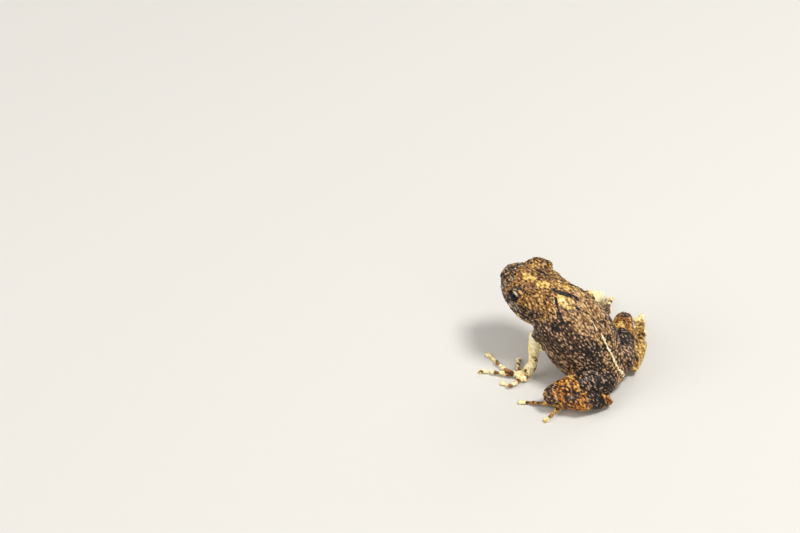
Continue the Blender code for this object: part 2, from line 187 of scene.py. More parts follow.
# A brush stroke: the spacing of its spots, and the share of its radius with its full height
STROKE_STEP = 0.15
STROKE_CORE = 0.2

# Half widths of the muscles that round off the limbs
MUSCLES = {"upper_arm": 1.0, "forearm": 0.70, "wrist": 0.52, "thigh": 1.42, "shank": 0.98, "ankle": 0.50}

# Tubercles, the small cones that roughen the skin: their spacing, least and greatest
# radius, height as a share of the radius and pointedness, and how much larger a few are
TUBERCLE_SEED = 7
TUBERCLE_SPACING = 0.27
TUBERCLE_RADIUS = (0.12, 0.19)
TUBERCLE_HEIGHT = 0.50
TUBERCLE_POINT = 1.5
LARGER = 1.35
LARGER_SHARE = 0.12

# How far the skin stands up in cones: fully at 1. It is smoother where it faces down, and
# within a radius of the lids' edges, the eardrums and the lips.
ROUGHNESS = {
    "torso": 1.0, "head": 0.95, "upper_arm": 0.65, "forearm": 0.22, "hand": 0.18,
    "thigh": 0.95, "shank": 0.75, "foot": 0.25,
}
UNDER_SMOOTHING = {"torso": 0.55, "head": 0.60}
UNDERSIDE = (-0.45, 0.35)
SMOOTHED = 0.75
SMOOTH_RADII = {"rims": 0.10, "ears": 0.36, "lips": 0.08}
SMOOTH_EDGE = 0.16

# Digits: how far they reach from their bones, how far their joints and tip discs swell
# and their waists sink, the share of that up and down, the disc's radius, and where the
# joints and waists lie along a digit, as start, end and softness
DIGIT_REACH = (0.45, 0.25)
DIGIT_SWELL = 0.05
DIGIT_WAIST = 0.05
DIGIT_LIFT = 0.4
DISC_SWELL = 0.07
DISC = (0.18, 0.22)
DIGIT_JOINTS = ((0.38, 0.44, 0.07), (0.66, 0.71, 0.06))
DIGIT_WAISTS = ((0.50, 0.60, 0.06), (0.76, 0.84, 0.06))

# Folds, ridges and lines of the skin, each as places to the left, ahead and up
NAPE_FOLD = [(0.7, 9.7, 10.6), (0.6, 9.0, 10.5), (0.0, 7.7, 10.3), (-0.3, 7.0, 9.9)]
SHOULDER_FOLD = [(1.3, 8.8, 10.3), (1.9, 8.2, 10.0), (2.3, 7.5, 9.4), (2.6, 7.0, 9.0)]
BACK_RIDGE = [(1.9, 6.4, 9.2), (1.8, 5.2, 8.4), (1.5, 4.1, 7.6), (1.2, 3.1, 6.5)]
MIDDLE_LINE = [(0.5, 3.2, 7.4), (0.6, 2.3, 6.2), (0.5, 1.5, 4.8), (0.4, 0.7, 3.3), (-0.2, 0.3, 1.9)]
FLANK_WRINKLES = [
    [(3.8, 6.6, 5.0), (3.8, 6.2, 3.6), (3.6, 5.6, 2.6)],
    [(3.4, 7.2, 5.6), (3.6, 7.0, 4.4), (3.2, 6.9, 3.3)],
    [(3.7, 4.6, 5.4), (3.9, 4.4, 4.4), (3.9, 4.8, 3.6)],
]

# Brush strokes of the trunk and limbs, as radius and height. A wrinkle's groove lies a
# little below its rim, the wrist's waist a little up the forearm, and the knee's swelling
# over its joint.
FOLD_RIM = (0.45, 0.13)
FOLD_GROOVE = (0.20, -0.27)
RIDGE = (0.32, 0.09)
LINE = (0.16, 0.05)
WRINKLE_RIM = (0.30, 0.06)
WRINKLE_GROOVE = (0.20, -0.08)
WRINKLE_DROP = 0.25
ELBOW_SWELL = (0.55, 0.06)
WRIST_WAIST = (0.50, -0.05)
WRIST_SHARE = 0.12
KNEE_SWELL = (0.80, 0.06)
KNEE_TOP = 0.9

# Sizes of the skin's fine pattern: the grain of colour, which is finer in life and is drawn
# about as coarse as a cone so that it shows, the cones themselves, the clouds of lighter
# and darker skin, the weave of a pigment's ragged edge, and the finest relief's height
GRAIN = 0.24
PEBBLE = 0.30
CLOUD = 1.30
WEAVE = 0.55
RELIEF = 0.055

# What makes the skin lighter or darker from spot to spot: the shares of the grain, of the
# pattern of cones, of the raised cones and of the clouds, and what is taken off the sum. The
# cones' shares paint their tops lighter and the gaps between them darker, which is painted
# light and shade over the skin's own mottling. Then how far along that range a pigment's three
# shades lie apart.
MOTTLE_AND_PAINTED_CONE_SHADE = {"grain": 0.48, "pebble": 0.24, "granule": 0.32, "cloud": 0.44}
MOTTLE_AND_PAINTED_CONE_SHADE_BASE = -0.20
SHADE_STEPS = (0.0, 0.26, 0.54)

# How far a pigment's edge is broken up, and the range over which it sets in
RAGGED_EDGE = 0.42
EDGE_RANGE = (0.37, 0.61)

# The cones stand in rows that run along the back, and are longer along them: the rows'
# tilt from level, and the share that a distance along them counts
ROW_TILT = math.radians(-30.0)
ROW_SHARE = 0.54

# Pigments, each as its shade in the gaps, on the slopes and on the tips of the cones,
# and how much of the dark shows between the cones. The dark gaps and pale tips are partly
# the skin's own colour and partly painted shade and painted light.
PIGMENTS = {
    "back": ("#241409", "#8E6439", "#E2BC86", 0.17),
    "flank": ("#0E0703", "#5A3C25", "#DCB48C", 0.255),
    "belly": ("#3A281A", "#86694C", "#C0A280", 0.16),
    "ochre": ("#241408", "#966630", "#E2B66C", 0.23),
    "grey": ("#160E09", "#6A513A", "#DACAB2", 0.24),
    "charcoal": ("#060302", "#372317", "#C8A684", 0.29),
    "orange": ("#220F04", "#BA7022", "#FAC868", 0.27),
    "yellow": ("#6A4416", "#D8AA4C", "#F6DE92", 0.16),
    "cream": ("#B8863C", "#F8E096", "#FFF8D2", 0.02),
    "pale": ("#A88248", "#F6E0A2", "#FFF8D8", 0.04),
    # The bars also paint shade on the forearm's shaded side
    "bars": ("#341C0C", "#865428", "#C89A56", 0.20),
    # The dark also paints shade in the folds' grooves, the mouth's line and the nostrils
    "dark": ("#070402", "#2A1A10", "#86684E", 0.34),
}

# Colours of the eye: the pupil, the iris from below to above, its near white top a painted highlight, and
# the size of its flecks
PUPIL_BLACK = "#050404"
IRIS = ((0.0, "#120B08"), (0.70, "#3A2818"), (0.84, "#A88C5A"), (0.96, "#EADFBE"))
IRIS_FLECK = 0.10

# What differs between the sides: where the pale part of each upper arm and the dark part
# of each thigh start, how mottled each arm is, how yellow each shank is, and how orange
# and yellow each foot is
PALE_ARM = {"left": 0.95, "right": 0.35}
MOTTLED_ARM = {"left": 0.0, "right": 0.48}
DARK_THIGH = {"left": 0.02, "right": 0.24}
YELLOW_SHANK = {"left": 0.0, "right": 0.52}
ORANGE_FOOT = {"left": 0.75, "right": 0.45}
YELLOW_FOOT = {"left": 0.50, "right": 0.65}

# Bands of pigment along the limbs, from 0 at the body to 1 at the end: the pigment, where
# the band starts and ends, the softness of its edges, and the share of cones that take
# it. The whole length is a band from well before the start to well past the end.
WHOLE = (-1.0, 2.0)
THIGH_BANDS = [
    ("flank", WHOLE[0], 0.30, 0.10, 1.0), ("orange", 0.58, 0.86, 0.10, 0.9),
    ("yellow", 0.60, 0.68, 0.08, 0.45), ("charcoal", 0.76, 0.80, 0.06, 0.5),
    ("flank", 0.90, WHOLE[1], 0.10, 1.0), ("orange", 0.97, WHOLE[1], 0.10, 0.28),
]
SHANK_BANDS = [
    ("flank", *WHOLE, 0.10, 1.0), ("charcoal", 0.66, 0.86, 0.08, 0.9),
    ("orange", 0.93, WHOLE[1], 0.06, 0.95),
]
FOREARM_BANDS = [("cream", *WHOLE, 0.10, 1.0), ("yellow", 0.15, 0.75, 0.15, 0.5)]

# Orange stripes across the shank: their start, end and softness, how many there are, the
# share of cones between them and what a stripe adds to it, and where the yellow starts
SHANK_STRIPES = (0.14, 0.62, 0.08)
STRIPES = 2.6
STRIPE_SHARES = (0.25, 0.65)
YELLOW_EDGE = (0.35, 0.2)

# Arms: the share of cones in the pale parts and the softness of the upper one's edge, the
# pale patch round the elbow, and the brown painted as shade on the forearm's shaded side,
# with the way that side faces, and the brown of its mottling
PALE_SHARE = 0.9
PALE_SOFTNESS = 0.15
ELBOW_PATCH = (0.55, 1.0)
SHADED_WAY = (0.35, 0.80, 0.30)
SHADED_EDGE = (0.45, 0.5)
FOREARM_PAINTED_SHADE_SHARE = 0.42
FOREARM_PAINTED_SHADE = (0.45, 0.95, 0.12)
FOREARM_MOTTLE = (0.10, 0.70, 0.10)

# Bars across the digits: the share of cones, how far they reach from the bones, and the
# bars' places as start, end and softness. Then where a digit's cream tip starts.
DIGIT_BARS = {"hand": 0.62, "foot": 0.38}
BAR_REACH = (0.45, 0.15)
DIGIT_BAR_PLACES = ((0.30, 0.36, 0.10), (0.62, 0.68, 0.10))
DIGIT_TIP = (0.90, 0.06)

# Where one ground colour gives way to another, as the edge's place and softness: aside
# from the middle line, up in the head, ahead on the trunk, or how far the skin faces up
FLANK_EDGE = (2.7, 0.9)
CHEEK_EDGE = (0.1, 0.7)
REAR_EDGE = (3.4, 2.0)
BELLY_EDGE = (-0.45, 0.30)
CROWN_EDGE = (0.55, 0.8)
NAPE_EDGE = (8.6, 1.2)
NAPE_SIDE = (2.4, 0.9)
UPWARD = (0.1, 0.4)
SNOUT_EDGE = (6.2, 0.9)
LORES_EDGE = (4.9, 0.8)
LORES_BAND = (-0.6, 0.6, 0.4)

# The share of cones that the dark of the rear takes, and the grey of the snout and lores,
# and how grey spots on the snout gather
REAR_SHARE = 0.50
GREY_SHARE = 0.62
SNOUT_SPOTS = (0.2, 0.4)

# Dark in the mouth's line and the nostrils, painted shade in their groove and pits, and grey
# on the lids' edges, as half width and softness, and the share of cones along the mouth
MOUTH_PAINTED_SHADE = (0.02, 0.12)
MOUTH_PAINTED_SHADE_SHARE = 0.66
NOSTRIL_PAINTED_SHADE = (0.11, 0.12)
LID_SHADE = (0.08, 0.14)

# How pigments' edges wander and their spots gather: the steps that set the noises of two
# seeds apart, and layers of smooth noise, each as an amount, a size and a seed
NOISE_STEPS = (7.3, 3.1, 5.7)
FLANK_WANDER = ((0.7, 1.4, 1), (0.35, 0.5, 5))
CHEEK_WANDER = (0.4, 0.7, 3)
BELLY_WANDER = (0.2, 0.9, 6)
SNOUT_WANDER = (1.0, 0.6, 8)
BAND_WANDER = (0.05, 0.5, 2)
STRIPE_WANDER = (2.2, 0.8, 4)

# Patches of pigment, and painted shade in the grooves of the nape and shoulder folds: places,
# half width, softness of the edge, the share of cones that take it, and whether both sides have it
PATCHES = [
    ("charcoal", [(2.4, 3.4, 6.4), (2.6, 3.1, 5.3), (2.4, 2.6, 4.4)], 0.60, 0.8, 0.85, True),
    ("charcoal", [(1.9, 2.9, 6.6), (1.5, 2.3, 5.6)], 0.20, 0.5, 0.7, True),
    ("dark", [(3.3, 7.6, 8.2), (3.2, 7.0, 8.1)], 0.15, 0.60, 0.75, True),
    # Painted shade: dark in the grooves of the nape fold and of the shoulder folds
    ("dark", NAPE_FOLD, 0.12, 0.26, 0.95, False),
    ("dark", SHOULDER_FOLD, 0.07, 0.18, 0.90, True),
    ("dark", [(0.7, 6.5, 9.6), (0.0, 5.2, 8.9)], 0.02, 0.18, 0.7, False),
    ("dark", [(1.3, 11.7, 10.7)], 0.05, 0.55, 0.62, False),
    ("dark", [(-0.8, 11.2, 10.8), (-1.0, 12.8, 11.0)], 0.02, 0.50, 0.55, False),
    ("flank", [(3.1, 10.2, 8.4), (3.1, 11.0, 6.9)], 0.8, 0.9, 0.9, True),
    ("yellow", [(0.8, 13.0, 11.0), (0.6, 12.4, 11.0)], 0.20, 0.50, 0.75, False),
    ("yellow", [(0.4, 10.6, 10.7), (0.9, 11.2, 10.8)], 0.25, 0.55, 0.70, False),
    ("yellow", [(-0.8, 9.6, 10.6), (-0.7, 8.7, 10.5)], 0.20, 0.50, 0.60, False),
    ("yellow", [(1.1, 8.3, 10.4), (1.0, 7.2, 9.8)], 0.35, 0.80, 0.54, False),
    ("cream", [(1.1, 8.0, 10.3), (1.0, 7.6, 10.0)], 0.05, 0.50, 0.50, False),
    ("yellow", [(-1.6, 8.0, 10.1), (-1.4, 7.2, 9.8)], 0.20, 0.50, 0.55, False),
    ("orange", [(2.1, 9.1, 9.8)], 0.12, 0.30, 0.85, True),
    ("yellow", [(2.1, 9.1, 9.8)], 0.02, 0.20, 0.60, True),
    ("pale", [(1.5, 9.0, 10.4), (2.2, 8.3, 9.9), (2.8, 7.7, 9.1)], 0.02, 0.16, 0.50, True),
    ("cream", [(3.45, 12.2, 7.6), (3.3, 12.0, 7.1)], 0.10, 0.40, 0.68, True),
    ("grey", [(3.3, 13.1, 9.0), (3.3, 12.4, 8.6)], 0.25, 0.40, 0.8, True),
    ("pale", MIDDLE_LINE, 0.05, 0.11, 1.0, False),
    ("pale", [(0.2, 4.9, 8.7), (0.6, 3.7, 7.8)], 0.02, 0.12, 0.6, False),
]


def at(left, ahead, up):
    """A point of the enlarged model."""
    return Vector((VENT.x + left, VENT.y - ahead, up))


def in_head(left, ahead, up):
    """A point of the enlarged model from the head's own frame."""
    return at(*NECK) + HEAD_TURN @ Vector((left, -ahead, up))


def linear(hex_colour):
    """An sRGB hex colour as linear RGBA."""
    parts = [int(hex_colour[i:i + 2], 16) / 255 for i in (1, 3, 5)]
    return [p / 12.92 if p <= 0.04045 else ((p + 0.055) / 1.055) ** 2.4 for p in parts] + [1.0]


def choose(*pieces):
    """Selects just these objects, the last of them active."""
    bpy.ops.object.select_all(action="DESELECT")
    for piece in pieces:
        piece.select_set(True)
    bpy.context.view_layer.objects.active = pieces[-1]


def modify(piece, kind, **settings):
    """Adds a modifier to a piece and applies it."""
    modifier = piece.modifiers.new(kind.title(), kind)
    for name, value in settings.items():
        setattr(modifier, name, value)
    choose(piece)
    bpy.ops.object.modifier_apply(modifier=modifier.name)


def node(tree, kind, settings, links):
    """Adds a shader node with its settings, and links or values for its sockets."""
    made = tree.nodes.new("ShaderNode" + kind)
    for name, value in settings.items():
        if name == "stops":
            while len(made.color_ramp.elements) < len(value):
                made.color_ramp.elements.new(0.5)
            for element, (spot, colour) in zip(made.color_ramp.elements, value):
                element.position = spot
                element.color = colour
        else:
            setattr(made, name, value)
    for socket, source in links.items():
        if isinstance(source, bpy.types.NodeSocket):
            tree.links.new(source, made.inputs[socket])
        else:
            made.inputs[socket].default_value = source
    return made


# Flesh: the body's forms run together

def flesh():
    """The flesh nodes' solids as one enlarged mesh, with their gaps closed."""
    copies = []
    for name in FLESH:
        copy = bpy.data.objects.new(name + "_flesh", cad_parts[name].data.copy())
        bpy.context.scene.collection.objects.link(copy)
        copy.data.transform(Matrix.Scale(ENLARGED, 4))
        copies.append(copy)
    choose(*copies)
    bpy.ops.object.join()
    piece = bpy.context.view_layer.objects.active
    piece.name = "skin"
    bpy.ops.object.mode_set(mode="EDIT")
    bpy.ops.mesh.select_all(action="SELECT")
    bpy.ops.mesh.remove_doubles(threshold=MERGE)
    bpy.ops.object.mode_set(mode="OBJECT")
    modify(piece, "DISPLACE", strength=JOINT_FILL, mid_level=0.0)
    modify(piece, "REMESH", mode="VOXEL", voxel_size=GRID)
    modify(piece, "SMOOTH", factor=0.5, iterations=4)
    modify(piece, "DISPLACE", strength=-JOINT_FILL, mid_level=0.0)
    return piece


def muscle(start, end, width, bulge=1.0):
    """A spindle of flesh between two points, about as thick as it is wide."""
    middle, along = (start + end) / 2, end - start
    bpy.ops.mesh.primitive_uv_sphere_add(
        segments=24, ring_count=16, radius=1.0, location=middle,
        rotation=along.to_track_quat("Z", "Y").to_euler(),
        scale=(width, width * bulge, along.length / 2))
    return bpy.context.object


def eye_heading(side):
    """The way an eye looks, in the model's frame."""
    return HEAD_TURN @ Vector((side * EYE_HEADING.x, -EYE_HEADING.y, EYE_HEADING.z))


def eye_place(side):
    """The middle of an eyeball; side is 1 on the left and -1 on the right."""
    return in_head(side * EYE[0], *EYE[1:])


def lid_ring(side):
    """The rim of both lids round an eye, an oval ring that is longest along the head."""
    outward = eye_heading(side)
    ahead = HEAD_TURN @ Vector((0.0, -1.0, 0.0))
    across = outward.cross(ahead).normalized()
    ahead = across.cross(outward)
    turn = Matrix((ahead, across, outward)).transposed()
    bpy.ops.mesh.primitive_torus_add(
        major_segments=48, minor_segments=16, major_radius=LID_RADIUS, minor_radius=LID_THICKNESS,
        location=eye_place(side) + outward * LID_REACH, rotation=turn.to_euler())
    piece = bpy.context.object
    piece.scale = LID_STRETCH
    return piece


def limb_joints(limb):
    """A limb's joints by name, as points of the enlarged model."""
    return {key: at(*place) for key, place in limb.items() if key != "digits"}


def limb_muscles(side):
    """The muscles of one arm and one leg, most of them reaching a little past their joints."""
    arm, leg = limb_joints(ARMS[side]), limb_joints(LEGS[side])
    shoulder, elbow, wrist = arm["shoulder"], arm["elbow"], arm["wrist"]
    knee, shank, heel, instep = leg["knee"], leg["mid_shank"], leg["heel"], leg["instep"]
    inward = Vector((-SIDES[side], 0.0, 0.0))
    return [
        muscle(shoulder + inward * 1.2 + Vector((0, 0.5, 1.1)), elbow, MUSCLES["upper_arm"]),
        muscle(elbow.lerp(wrist, -0.22), elbow.lerp(wrist, 0.75), MUSCLES["forearm"]),
        muscle(wrist.lerp(elbow, 0.25), arm["palm"], MUSCLES["wrist"], 0.8),
        muscle(leg["hip"] + inward * 0.6, knee, MUSCLES["thigh"], 0.95),
        muscle(knee.lerp(shank, -0.2), heel.lerp(shank, 0.3), MUSCLES["shank"]),
        muscle(heel.lerp(instep, -0.25), instep, MUSCLES["ankle"]),
    ]


def added_forms():
    """The lids, the blunt snout and the muscles that round off the plain forms."""
    forms = [lid_ring(side) for side in SIDES.values()]
    forms.append(muscle(in_head(-SNOUT_HALF_WIDTH, *SNOUT), in_head(SNOUT_HALF_WIDTH, *SNOUT), SNOUT_RADIUS))
    for side in SIDES:
        forms += limb_muscles(side)
    return forms


def build_skin():
    """One soft closed skin over the flesh and the added forms, still enlarged."""
    piece = flesh()
    choose(*added_forms(), piece)
    bpy.ops.object.join()
    modify(piece, "REMESH", mode="VOXEL", voxel_size=GRID)
    choose(piece)
    bpy.ops.object.shade_smooth()
    return piece


# Sculpting: the skin's points as arrays, moved as by a soft brush

def spread(values, ends, rounds, steps=(0.5,), weight=1.0):
    """Values evened out with their neighbours'; steps of both signs keep a form's size."""
    first, second = np.concatenate(ends), np.concatenate(ends[::-1])
    columns = values.reshape(len(values), -1).T.copy()
    count = np.bincount(first, minlength=len(values))
    for _ in range(rounds):
        for step in steps:
            for column in columns:
                mean = np.bincount(first, weights=column[second], minlength=len(column)) / count
                column += step * weight * (mean - column)
    return columns.T.reshape(values.shape)


def fade(distance, radius, softness):
    """One inside a radius, falling smoothly to nothing over the softness."""
    share = np.clip((radius + softness - distance) / softness, 0.0, 1.0)
    return share * share * (3.0 - 2.0 * share)


def grow(value, start, softness):
    """One from a start on, growing smoothly from nothing over the softness before it."""
    return fade(-value, -start, softness)


def band(value, start, end, softness):
    """One between two values, with soft edges."""
    return grow(value, start, softness) * fade(value, end, softness)


def mirrored(places):
    """The same places on the frog's other side."""
    return [(-left, ahead, up) for left, ahead, up in places]


class Body:
    """The skin's points, with what is needed to find places on it and to shape it."""

    def __init__(self, piece):
        self.mesh = piece.data
        flat = np.empty(len(self.mesh.edges) * 2, dtype=np.int64)
        self.mesh.edges.foreach_get("vertices", flat)
        self.ends = list(flat.reshape(-1, 2).T)
        flat = np.empty(len(self.mesh.vertices) * 3)
        self.mesh.vertices.foreach_get("co", flat)
        self.points = flat.reshape(-1, 3)
        self.settle()
        self.home = self.nearest_nodes()

    def settle(self):
        """Writes the points back, and reads the new normals and places."""
        self.points[:, 2] = np.maximum(self.points[:, 2], 0.0)
        self.mesh.vertices.foreach_set("co", self.points.ravel())
        self.mesh.update()
        flat = np.empty(len(self.points) * 3)
        self.mesh.vertex_normals.foreach_get("vector", flat)
        self.normals = flat.reshape(-1, 3)
        self.tree = kdtree.KDTree(len(self.points))
        for index, point in enumerate(self.points):
            self.tree.insert(point, index)
        self.tree.balance()
        self.left = self.points[:, 0] - VENT.x
        self.ahead = VENT.y - self.points[:, 1]
        self.up = self.points[:, 2]
        turned = (self.points - np.array(at(*NECK))) @ np.array(HEAD_TURN)
        self.in_head = turned * np.array((1.0, -1.0, 1.0))

    def nearest_nodes(self):
        """The number in FLESH of the solid that lies nearest to each point."""
        corners = [(vertex.co * ENLARGED, number) for number, name in enumerate(FLESH)
                   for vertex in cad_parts[name].data.vertices]
        tree = kdtree.KDTree(len(corners))
        for index, (corner, _) in enumerate(corners):
            tree.insert(corner, index)
        tree.balance()
        return np.array([corners[tree.find(point)[1]][1] for point in self.points])

    def on(self, *names, rounds=6):
        """A soft mask of the points on some nodes."""
        numbers = [FLESH.index(name) for name in names]
        return spread(np.isin(self.home, numbers).astype(float), self.ends, rounds)

    def wander(self, *layers):
        """Smooth noise at each point, in layers of an amount, a size in millimetres and a seed."""
        total = np.zeros(len(self.points))
        for amount, size, seed in layers:
            offset = Vector([seed * step for step in NOISE_STEPS])
            values = [noise.noise(Vector(point) / size + offset) for point in self.points]
            total += amount * np.array(values)
        return total

    def distance(self, path, snapped=True):
        """Each point's distance to a path of model points, laid on the skin if snapped."""
        spots = [path[-1]]
        for start, end in zip(path, path[1:]):
            steps = max(1, math.ceil((end - start).length / STROKE_STEP))
            spots += [start.lerp(end, step / steps) for step in range(steps)]
        if snapped:
            spots = [self.tree.find(spot)[0] for spot in spots]
        nearest = np.full(len(self.points), np.inf)
        for spot in spots:
            nearest = np.minimum(nearest, ((self.points - np.array(spot)) ** 2).sum(axis=1))
        return np.sqrt(nearest)

    def patch(self, places, radius, softness):
        """A soft mask round a path of places (left, ahead, up) on the skin."""
        return fade(self.distance([at(*place) for place in places]), radius, softness)

    def beside_eye(self, side):
        """Each point's straight distance to the middle of an eyeball."""
        return self.distance([eye_place(side)], False)

    def press(self, path, radius, height):
        """Raises or sinks the skin along a path of model points, like a brush stroke."""
        weight = fade(self.distance(path), radius * STROKE_CORE, radius * (1.0 - STROKE_CORE))
        self.points = self.points + self.normals * (weight * height)[:, None]

    def along(self, joints):
        """How far each point lies along a limb, from 0 to 1, and its distance from the bones."""
        total = sum((end - start).length for start, end in zip(joints, joints[1:]))
        nearest = np.full(len(self.points), np.inf)
        share = np.zeros(len(self.points))
        before = 0.0
        for start, end in zip(joints, joints[1:]):
            bone, first = np.array(end - start), np.array(start)
            part = np.clip((self.points - first) @ bone / (bone @ bone), 0.0, 1.0)
            away = np.linalg.norm(self.points - first - part[:, None] * bone, axis=1)
            closer = away < nearest
            share[closer] = ((before + part * (end - start).length) / total)[closer]
            nearest = np.minimum(nearest, away)
            before += (end - start).length
        return share, nearest

    def keep(self, name, values):
        """Saves a value at each point for the skin's material."""
        layer = self.mesh.attributes.new(name, "FLOAT", "POINT")
        layer.data.foreach_set("value", values.astype(np.float32))


def paws(body):
    """A soft mask of the hands and feet."""
    return body.on(*(f"{limb}_{side}" for limb in ("hand", "foot") for side in SIDES), rounds=10)


def soften(body):
    """Evens out the flat faces of the solids, least on the hands, feet and lids."""
    lids = np.maximum(*(fade(body.beside_eye(side), *LID_ZONE) for side in SIDES.values()))
    weight = 1.0 - SPARED * np.maximum(paws(body), lids)
    body.points = spread(body.points, body.ends, SOFT_ROUNDS, SOFT_STEPS, weight)
    body.settle()


def digits():
    """Each digit as its side, its limb and its joints from inside the palm or sole."""
    for limbs, pad, limb in ((ARMS, "palm", "hand"), (LEGS, "ball", "foot")):
        for side in SIDES:
            for middle, tip in limbs[side]["digits"]:
                yield side, limb, [at(*limbs[side][pad]), at(*middle), at(*tip)]


def shape_digits(body):
    """Swells the joints of the fingers and toes and spreads their tips to small discs."""
    for side, limb, joints in digits():
        share, away = body.along(joints)
        near = fade(away, *DIGIT_REACH) * body.on(f"{limb}_{side}", rounds=2)
        tip = joints[-1]
        reach = np.linalg.norm(body.points - np.array(tip), axis=1)
        knuckles = sum(band(share, *stretch) for stretch in DIGIT_JOINTS)
        waists = sum(band(share, *stretch) for stretch in DIGIT_WAISTS)
        swell = DIGIT_SWELL * knuckles - DIGIT_WAIST * waists + DISC_SWELL * fade(reach, *DISC)
        outward = body.normals * (near * swell)[:, None]
        outward[:, 2] *= DIGIT_LIFT
        body.points = body.points + outward
    body.settle()


def mouth_line():
    """The line between the lips, from one corner of the mouth to the other."""
    return [in_head(*place) for place in [*MOUTH, *mirrored(MOUTH[-2::-1])]]


def sculpt_ear(body, side):
    """A shallow round eardrum inside a raised ring."""
    ear = in_head(side * EAR[0], *EAR[1:])
    wide, high = EAR_HALF_SIZES
    turns = [math.tau * step / EAR_RING_STEPS for step in range(EAR_RING_STEPS + 1)]
    ring = [ear + HEAD_TURN @ Vector((0, wide * math.cos(turn), high * math.sin(turn))) for turn in turns]
    body.press([ear], *EAR_DRUM)
    body.press(ring, *EAR_RING)


def sculpt_head(body):
    """Mouth, nostrils, snout edge, ears, the folds over them and the grooves round the lids."""
    body.press([in_head(*place) for place in UPPER_LIP], *LIP_PRESS)
    line = mouth_line()
    rise = Vector((0, 0, LIP_DISTANCE))
    body.press([spot + rise for spot in line], *UPPER_ROLL)
    body.press([spot - rise for spot in line], *LOWER_ROLL)
    body.press(line, *MOUTH_GROOVE)
    for side in SIDES.values():
        for places, radius, height in SNOUT_STROKES:
            body.press([in_head(side * place[0], *place[1:]) for place in places], radius, height)
        sculpt_ear(body, side)
        for places, radius, height in LID_STROKES:
            body.press([in_head(side * place[0], *place[1:]) for place in places], radius, height)
    body.settle()


def sculpt_trunk(body):
    """Folds of the shoulders and back, wrinkles of the flanks and swellings at the joints."""
    for places in (NAPE_FOLD, SHOULDER_FOLD, mirrored(SHOULDER_FOLD)):
        path = [at(*place) for place in places]
        body.press(path, *FOLD_RIM)
        body.press(path, *FOLD_GROOVE)
    for places in (BACK_RIDGE, mirrored(BACK_RIDGE)):
        body.press([at(*place) for place in places], *RIDGE)
    body.press([at(*place) for place in MIDDLE_LINE], *LINE)
    for places in FLANK_WRINKLES:
        for side_places in (places, mirrored(places)):
            path = [at(*place) for place in side_places]
            body.press(path, *WRINKLE_RIM)
            body.press([spot - Vector((0, 0, WRINKLE_DROP)) for spot in path], *WRINKLE_GROOVE)
    for side in SIDES:
        elbow, wrist = at(*ARMS[side]["elbow"]), at(*ARMS[side]["wrist"])
        body.press([elbow], *ELBOW_SWELL)
        body.press([wrist.lerp(elbow, WRIST_SHARE)], *WRIST_WAIST)
        body.press([at(*LEGS[side]["knee"]) + Vector((0, 0, KNEE_TOP))], *KNEE_SWELL)
    body.settle()


def tubercles(body):
    """Raises many small cones, and gives each point's place on one, from 0 to 1."""
    dice = random.Random(TUBERCLE_SEED)
    order = list(range(len(body.points)))
    dice.shuffle(order)
    row = np.array(Matrix.Rotation(ROW_TILT, 3, "X") @ Vector((0, 1, 0)))
    packed = body.points - (1.0 - ROW_SHARE) * (body.points @ row)[:, None] * row
    cell = TUBERCLE_SPACING
    taken = {}
    centres = []
    for index in order:
        point = packed[index]
        key = tuple(int(value // cell) for value in point)
        near = (spot for x in (-1, 0, 1) for y in (-1, 0, 1) for z in (-1, 0, 1)
                for spot in taken.get((key[0] + x, key[1] + y, key[2] + z), ()))
        if all(((spot - point) ** 2).sum() > cell * cell for spot in near):
            taken.setdefault(key, []).append(point)
            centres.append(point)
    tree = kdtree.KDTree(len(centres))
    for number, centre in enumerate(centres):
        tree.insert(centre, number)
    tree.balance()
    sizes = [dice.uniform(*TUBERCLE_RADIUS) * (LARGER if dice.random() < LARGER_SHARE else 1.0)
             for _ in centres]
    profile = np.zeros(len(body.points))
    height = np.zeros(len(body.points))
    for index, point in enumerate(packed):
        _, number, away = tree.find(point)
        share = max(0.0, 1.0 - (away / sizes[number]) ** 2)
        profile[index] = share ** TUBERCLE_POINT
        height[index] = profile[index] * sizes[number] * TUBERCLE_HEIGHT
    return profile, height


def roughness_of(body):
    """How rough each point's skin is, smooth on the lids' edges, the eardrums and the lips."""
    under = fade(body.normals[:, 2], *UNDERSIDE)
    rough = np.zeros(len(body.points))
    for part, amount in ROUGHNESS.items():
        nodes = [part] if part in UNDER_SMOOTHING else [f"{part}_{side}" for side in SIDES]
        rough += body.on(*nodes) * (amount - UNDER_SMOOTHING.get(part, 0.0) * under)
    rims = np.minimum(*(abs(body.beside_eye(side) - LID_EDGE) for side in SIDES.values()))
    ears = np.minimum(*(body.distance([in_head(side * EAR[0], *EAR[1:])]) for side in SIDES.values()))
    smooth = {"rims": rims, "ears": ears, "lips": body.distance(mouth_line())}
    for name, away in smooth.items():
        rough *= 1.0 - SMOOTHED * fade(away, SMOOTH_RADII[name], SMOOTH_EDGE)
    return rough


# Pigments: where each colour of the skin lies, as soft masks with ragged edges

def add_bands(masks, where, share, bands):
    """Adds bands of pigment along a limb."""
    for name, start, end, softness, amount in bands:
        masks[name] += amount * where * band(share, start, end, softness)


